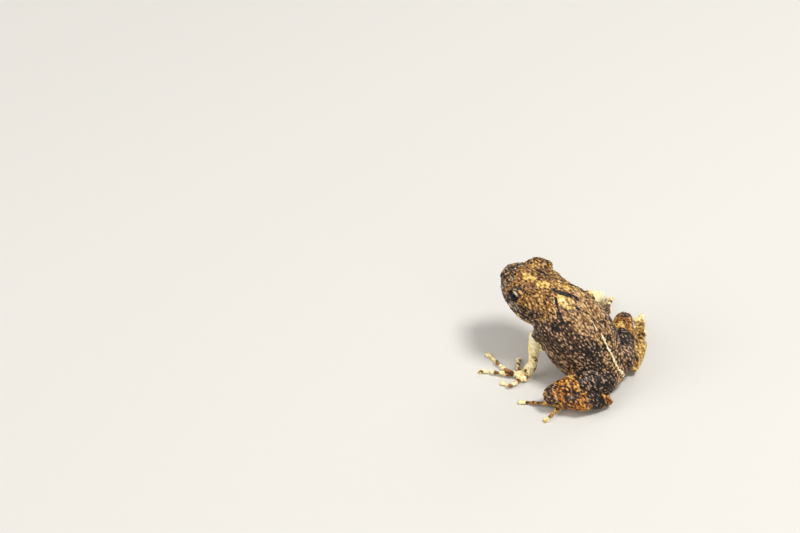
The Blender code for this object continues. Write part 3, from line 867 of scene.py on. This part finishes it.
def leg_pigments(body, masks, side, ragged):
    """Bands across the thigh and shank, and an orange and yellow foot."""
    leg = limb_joints(LEGS[side])
    thigh, shank = body.on(f"thigh_{side}"), body.on(f"shank_{side}")
    foot = body.on(f"foot_{side}", rounds=3)
    share = body.along([leg["hip"], leg["mid_thigh"], leg["knee"]])[0] + ragged
    add_bands(masks, thigh, share, [*THIGH_BANDS, ("charcoal", DARK_THIGH[side], 0.52, 0.12, 0.9)])
    share = body.along([leg["knee"], leg["mid_shank"], leg["heel"]])[0] + ragged
    add_bands(masks, shank, share, SHANK_BANDS)
    stripes = 0.5 + 0.5 * np.sin(share * math.tau * STRIPES + body.wander(STRIPE_WANDER))
    between, added = STRIPE_SHARES
    masks["orange"] += shank * band(share, *SHANK_STRIPES) * (between + added * stripes)
    masks["yellow"] += YELLOW_SHANK[side] * shank * grow(share, *YELLOW_EDGE)
    masks["orange"] += ORANGE_FOOT[side] * foot
    masks["yellow"] += YELLOW_FOOT[side] * foot


def arm_pigments(body, masks, side, ragged):
    """A dark shoulder, a pale elbow and a cream forearm and hand, with painted shade in brown on
    the forearm's shaded side.
    """
    arm = limb_joints(ARMS[side])
    upper, fore = body.on(f"upper_arm_{side}"), body.on(f"forearm_{side}", f"hand_{side}")
    share = body.along([arm["shoulder"], arm["elbow"]])[0] + ragged
    masks["flank"] += upper
    masks["cream"] += PALE_SHARE * upper * grow(share, PALE_ARM[side], PALE_SOFTNESS)
    bend = fade(body.distance([arm["elbow"]], False), *ELBOW_PATCH) * (upper + fore)
    masks["pale"] += (PALE_SHARE - 0.5 * MOTTLED_ARM[side]) * bend
    masks["yellow"] += MOTTLED_ARM[side] * (upper + bend)
    share = body.along([arm["elbow"], arm["wrist"], arm["palm"]])[0] + ragged
    add_bands(masks, fore, share, FOREARM_BANDS)
    # Painted shade: brown on the side of the forearm that faces the shaded way
    shade = grow(body.normals @ np.array(SHADED_WAY), *SHADED_EDGE)
    masks["bars"] += FOREARM_PAINTED_SHADE_SHARE * fore * shade * band(share, *FOREARM_PAINTED_SHADE)
    masks["bars"] += MOTTLED_ARM[side] * fore * band(share, *FOREARM_MOTTLE)


def digit_pigments(body, masks, ragged):
    """Dark bars across the fingers and toes, and cream tips."""
    for side, limb, joints in digits():
        share, away = body.along(joints)
        near = fade(away, *BAR_REACH) * body.on(f"{limb}_{side}", rounds=2)
        bars = sum(band(share + ragged, *stretch) for stretch in DIGIT_BAR_PLACES)
        masks["bars"] += near * bars * DIGIT_BARS[limb]
        masks["cream"] += near * grow(share, *DIGIT_TIP)


def trunk_pigments(body, masks):
    """Brown back, dark flanks and rear, mottled belly, and an ochre crown and nape."""
    torso, head = body.on("torso"), body.on("head")
    aside = abs(body.left) + body.wander(*FLANK_WANDER)
    level = body.in_head[:, 2] + body.wander(CHEEK_WANDER)
    masks["flank"] += torso * grow(aside, *FLANK_EDGE) + head * fade(level, *CHEEK_EDGE)
    masks["flank"] += REAR_SHARE * torso * fade(body.ahead, *REAR_EDGE)
    masks["belly"] += (torso + head) * fade(body.normals[:, 2] + body.wander(BELLY_WANDER), *BELLY_EDGE)
    upward = grow(body.normals[:, 2], *UPWARD)
    nape = grow(body.ahead, *NAPE_EDGE) * fade(aside, *NAPE_SIDE) * upward
    masks["ochre"] += head * grow(level, *CROWN_EDGE) + torso * nape
    ahead = body.in_head[:, 1]
    snout = grow(ahead, *SNOUT_EDGE) * fade(abs(body.wander(SNOUT_WANDER)), *SNOUT_SPOTS)
    lores = grow(ahead, *LORES_EDGE) * band(level, *LORES_BAND)
    masks["grey"] += GREY_SHARE * head * np.maximum(snout, lores)


def pigments(body):
    """The soft mask of each pigment over the skin, with painted shade in the folds' grooves, the
    mouth's line and the nostrils, and on the forearm's shaded side.
    """
    masks = {name: np.zeros(len(body.points)) for name in PIGMENTS if name != "back"}
    trunk_pigments(body, masks)
    for name, places, radius, softness, amount, both in PATCHES:
        masks[name] += amount * body.patch(places, radius, softness)
        if both:
            masks[name] += amount * body.patch(mirrored(places), radius, softness)
    # Painted shade in the mouth's groove and in the nostrils' pits
    masks["dark"] += MOUTH_PAINTED_SHADE_SHARE * fade(body.distance(mouth_line()), *MOUTH_PAINTED_SHADE)
    for side in SIDES.values():
        masks["grey"] += body.on("head") * fade(abs(body.beside_eye(side) - LID_EDGE), *LID_SHADE)
        nostril = in_head(side * NOSTRIL[0], *NOSTRIL[1:])
        masks["dark"] += fade(body.distance([nostril]), *NOSTRIL_PAINTED_SHADE)
    ragged = body.wander(BAND_WANDER)
    for side in SIDES:
        leg_pigments(body, masks, side, ragged)
        arm_pigments(body, masks, side, ragged)
    digit_pigments(body, masks, ragged)
    return {name: np.clip(values, 0.0, 1.0) for name, values in masks.items()}


# Materials

def mottle_and_painted_cone_shade_of(tree, parts):
    """How light the skin is from spot to spot, summed from its patterns by their shares: the
    skin's own mottling, with painted light on the cones' tops and painted shade in the gaps.
    """
    total = MOTTLE_AND_PAINTED_CONE_SHADE_BASE
    for name, source in parts.items():
        total = node(tree, "Math", {"operation": "MULTIPLY_ADD"}, {
            0: source, 1: MOTTLE_AND_PAINTED_CONE_SHADE[name], 2: total}).outputs[0]
    return total


def pigment_colour(tree, mottle_and_painted_cone_shade, ragged):
    """The pigments laid over each other, each by its mask with a ragged edge."""
    colour = None
    for name, (*shades, low) in PIGMENTS.items():
        stops = [(low + step, linear(shade)) for step, shade in zip(SHADE_STEPS, shades)]
        shade = node(tree, "ValToRGB", {"stops": stops}, {"Fac": mottle_and_painted_cone_shade}).outputs["Color"]
        if colour is None:
            colour = shade
            continue
        mask = node(tree, "Attribute", {"attribute_name": name}, {}).outputs["Fac"]
        edge = node(tree, "Math", {"operation": "ADD"}, {0: mask, 1: ragged}).outputs[0]
        share = node(tree, "MapRange", {"interpolation_type": "SMOOTHSTEP"}, {
            "Value": edge, "From Min": EDGE_RANGE[0], "From Max": EDGE_RANGE[1]}).outputs["Result"]
        colour = node(tree, "Mix", {"data_type": "RGBA"}, {0: share, 6: colour, 7: shade}).outputs[2]
    return colour


def skin_material():
    """Damp granular skin. Its thin film of water catches small soft highlights on the pale tops
    of the cones, and the gaps between them stay dark and dull. The pale tops and dark gaps are
    partly the skin's own colour and partly painted light and shade."""
    material = bpy.data.materials.new("damp_granular_skin")
    material.use_nodes = True
    tree = material.node_tree
    shader = tree.nodes["Principled BSDF"]
    place = node(tree, "TexCoord", {}, {}).outputs["Object"]
    place = node(tree, "Mapping", {"vector_type": "TEXTURE"}, {
        "Vector": place, "Rotation": (ROW_TILT, 0.0, 0.0),
        "Scale": (1.0, 1 / ROW_SHARE, 1.0)}).outputs["Vector"]
    noise_fac = node(tree, "TexNoise", {}, {
        "Vector": place, "Scale": 1 / (GRAIN * MM), "Detail": 3.0, "Roughness": 0.65,
        "Distortion": 0.15}).outputs["Fac"]
    grain = node(tree, "MapRange", {}, {
        "Value": noise_fac, "From Min": 0.36, "From Max": 0.64}).outputs["Result"]
    away = node(tree, "TexVoronoi", {"feature": "F1"}, {
        "Vector": place, "Scale": 1 / (PEBBLE * MM)}).outputs["Distance"]
    pebble = node(tree, "MapRange", {}, {
        "Value": away, "From Min": 0.15, "From Max": 0.75, "To Min": 1.0, "To Max": 0.0}).outputs["Result"]
    cloud = node(tree, "TexNoise", {}, {
        "Vector": place, "Scale": 1 / (CLOUD * MM), "Detail": 2.0, "Roughness": 0.5}).outputs["Fac"]
    granule = node(tree, "Attribute", {"attribute_name": "granule"}, {}).outputs["Fac"]
    # The cones' shares in this sum paint their tops paler and the gaps darker: painted light and shade
    mottle_and_painted_cone_shade = mottle_and_painted_cone_shade_of(tree, {"grain": grain, "pebble": pebble, "granule": granule, "cloud": cloud})
    weave = node(tree, "TexNoise", {}, {
        "Vector": place, "Scale": 1 / (WEAVE * MM), "Detail": 4.0, "Roughness": 0.65}).outputs["Fac"]
    ragged = node(tree, "MapRange", {}, {
        "Value": weave, "From Min": 0.30, "From Max": 0.70,
        "To Min": -RAGGED_EDGE, "To Max": RAGGED_EDGE}).outputs["Result"]
    tree.links.new(pigment_colour(tree, mottle_and_painted_cone_shade, ragged), shader.inputs["Base Color"])
    damp = node(tree, "MapRange", {}, {
        "Value": mottle_and_painted_cone_shade, "From Min": 0.2, "From Max": 0.9, "To Min": 0.62, "To Max": 0.42})
    tree.links.new(damp.outputs["Result"], shader.inputs["Roughness"])
    shader.inputs["IOR"].default_value = 1.42
    shader.inputs["Specular IOR Level"].default_value = 0.38
    shader.inputs["Coat Weight"].default_value = 0.12
    shader.inputs["Coat Roughness"].default_value = 0.22
    relief = node(tree, "Math", {"operation": "MULTIPLY_ADD"}, {
        0: pebble, 1: 0.7, 2: grain}).outputs[0]
    rough = node(tree, "Attribute", {"attribute_name": "rough"}, {}).outputs["Fac"]
    relief = node(tree, "Math", {"operation": "MULTIPLY"}, {0: relief, 1: rough}).outputs[0]
    bump = node(tree, "Bump", {}, {"Height": relief, "Strength": 0.8, "Distance": RELIEF * MM})
    tree.links.new(bump.outputs["Normal"], shader.inputs["Normal"])
    return material


def eye_material():
    """A wet eye: an oval black pupil, and an iris that is pale gold above and brown below, with a
    near white painted highlight at its top. Its clear front mirrors the lights sharply."""
    material = bpy.data.materials.new("wet_eye")
    material.use_nodes = True
    tree = material.node_tree
    shader = tree.nodes["Principled BSDF"]
    along, above = (node(tree, "Attribute", {"attribute_name": name}, {}).outputs["Fac"]
                    for name in ("along", "above"))
    ring = 0.0
    for reach, half in ((along, PUPIL[0]), (above, PUPIL[1])):
        part = node(tree, "Math", {"operation": "DIVIDE"}, {0: reach, 1: half}).outputs[0]
        ring = node(tree, "Math", {"operation": "MULTIPLY_ADD"}, {0: part, 1: part, 2: ring}).outputs[0]
    pupil = node(tree, "MapRange", {"interpolation_type": "SMOOTHSTEP"}, {
        "Value": ring, "From Min": 0.85, "From Max": 1.10}).outputs["Result"]
    place = node(tree, "TexCoord", {}, {}).outputs["Object"]
    fleck = node(tree, "TexNoise", {}, {
        "Vector": place, "Scale": 1 / (IRIS_FLECK * MM), "Detail": 2.0, "Roughness": 0.6}).outputs["Fac"]
    height = node(tree, "Math", {"operation": "MULTIPLY_ADD"}, {0: fleck, 1: 0.3, 2: above}).outputs[0]
    level = node(tree, "MapRange", {}, {
        "Value": height, "From Min": -0.25, "From Max": 0.65}).outputs["Result"]
    stops = [(spot, linear(shade)) for spot, shade in IRIS]
    iris = node(tree, "ValToRGB", {"stops": stops}, {"Fac": level}).outputs["Color"]
    colour = node(tree, "Mix", {"data_type": "RGBA"}, {
        0: pupil, 6: linear(PUPIL_BLACK), 7: iris}).outputs[2]
    tree.links.new(colour, shader.inputs["Base Color"])
    shader.inputs["Roughness"].default_value = 0.35
    shader.inputs["IOR"].default_value = 1.38
    shader.inputs["Specular IOR Level"].default_value = 0.1
    shader.inputs["Coat Weight"].default_value = 0.55
    shader.inputs["Coat IOR"].default_value = 1.38
    shader.inputs["Coat Roughness"].default_value = 0.03
    return material


def eyeball(side, material):
    """One eye with its clear front bulging a little and its pupil tilted up towards the snout."""
    sign = SIDES[side]
    centre, outward = eye_place(sign), eye_heading(sign)
    bpy.ops.object.select_all(action="DESELECT")
    bpy.ops.mesh.primitive_uv_sphere_add(
        segments=64, ring_count=40, radius=EYE_RADIUS, location=centre,
        rotation=outward.to_track_quat("Z", "Y").to_euler())
    piece = bpy.context.object
    piece.name = f"eyeball_{side}"
    bpy.ops.object.transform_apply(location=True, rotation=True, scale=True)
    ahead = HEAD_TURN @ Vector((0.0, -1.0, math.tan(PUPIL_TILT)))
    ahead = (ahead - outward * ahead.dot(outward)).normalized()
    above = outward.cross(ahead) * -sign
    values = {"along": [], "above": []}
    for vertex in piece.data.vertices:
        reach = vertex.co - centre
        values["along"].append(reach.dot(ahead))
        values["above"].append(reach.dot(above))
        front = max(0.0, reach.normalized().dot(outward) - CORNEA_START) / (1.0 - CORNEA_START)
        vertex.co += outward * CORNEA * front * front
    for name, numbers in values.items():
        piece.data.attributes.new(name, "FLOAT", "POINT").data.foreach_set("value", numbers)
    piece.data.transform(Matrix.Scale(MM, 4))
    choose(piece)
    bpy.ops.object.shade_smooth()
    piece.data.materials.append(material)
    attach(piece, "root")
    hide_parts(f"eye_{side}")


def frog():
    """The skin with its form, relief and pigments, and the two eyes."""
    skin = build_skin()
    body = Body(skin)
    soften(body)
    shape_digits(body)
    sculpt_head(body)
    sculpt_trunk(body)
    rough = roughness_of(body)
    profile, height = tubercles(body)
    for name, values in pigments(body).items():
        body.keep(name, values)
    # The cones' shape, which the skin's material paints paler on the tops and darker in the gaps, as painted
    # light and shade
    body.keep("granule", profile * np.clip(rough, 0.0, 1.0))
    body.keep("rough", np.clip(rough, 0.0, 1.0))
    body.points = body.points + body.normals * (height * rough)[:, None]
    body.settle()
    skin.data.transform(Matrix.Scale(MM, 4))
    skin.data.materials.clear()
    skin.data.materials.append(skin_material())
    choose(skin)
    bpy.ops.object.shade_smooth()
    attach(skin, "root")
    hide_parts(*FLESH)
    wet = eye_material()
    for side in SIDES:
        eyeball(side, wet)


frog()


# Portrait: floor, light and camera. The lights are a key light high above the frog, a
# fill before its left side, one behind it and a rim light at its right, each as its
# name, place, size and power.
PAPER = "#D9D6D0"
SURROUND = "#F2EFEA"
LIGHTS = (
    ("key", (-0.04, 0.12, 0.32), 0.09, 0.85),
    ("fill", (0.22, -0.20, 0.20), 0.25, 0.55),
    ("back", (0.16, 0.26, 0.16), 0.30, 0.22),
    ("rim", (-0.30, -0.05, 0.18), 0.20, 0.25),
)


def camera():
    """A camera at the photograph's height and angle, behind the frog's left shoulder."""
    azimuth, elevation = math.radians(36.0), math.radians(42.0)
    lens, sensor, width, height = 100.0, 36.0, 800, 533
    pixels_per_mm = 9.0
    vent_pixel = (624.0, 391.4)
    level = Vector((-math.cos(azimuth), -math.sin(azimuth), 0.0))
    right = level.cross(Vector((0, 0, 1)))
    look = level * math.cos(elevation) - Vector((0, 0, 1)) * math.sin(elevation)
    up = right.cross(look)
    distance = lens / sensor * width / pixels_per_mm * MM
    across = (vent_pixel[0] - width / 2) / width * sensor / lens
    above = (height / 2 - vent_pixel[1]) / width * sensor / lens
    eye = VENT * MM - (look + right * across + up * above) * distance
    data = bpy.data.cameras.new("portrait")
    data.lens = lens
    data.sensor_width = sensor
    data.clip_start = MM
    piece = bpy.data.objects.new("portrait", data)
    piece.matrix_world = Matrix.Translation(eye) @ Matrix((right, up, -look)).transposed().to_4x4()
    bpy.context.scene.collection.objects.link(piece)
    bpy.context.scene.camera = piece


def floor():
    """A plain pale floor."""
    bpy.ops.mesh.primitive_plane_add(size=4.0, location=(0, 0, -0.02 * MM))
    piece = bpy.context.object
    piece.name = "floor"
    material = bpy.data.materials.new("matt_paper")
    material.use_nodes = True
    shader = material.node_tree.nodes["Principled BSDF"]
    shader.inputs["Base Color"].default_value = linear(PAPER)
    shader.inputs["Roughness"].default_value = 0.9
    piece.data.materials.append(material)


def light(name, place, size, power):
    """A square soft light that faces the frog."""
    data = bpy.data.lights.new(name, "AREA")
    data.size = size
    data.energy = power
    piece = bpy.data.objects.new(name, data)
    piece.location = place
    piece.rotation_euler = Vector(place).to_track_quat("Z", "Y").to_euler()
    bpy.context.scene.collection.objects.link(piece)


def studio():
    """The four lights and a soft warm surround."""
    for settings in LIGHTS:
        light(*settings)
    world = bpy.data.worlds.new("surround")
    world.use_nodes = True
    world.node_tree.nodes["Background"].inputs["Color"].default_value = linear(SURROUND)
    world.node_tree.nodes["Background"].inputs["Strength"].default_value = 0.34
    bpy.context.scene.world = world
    bpy.context.scene.view_settings.view_transform = "Standard"


floor()
studio()
camera()
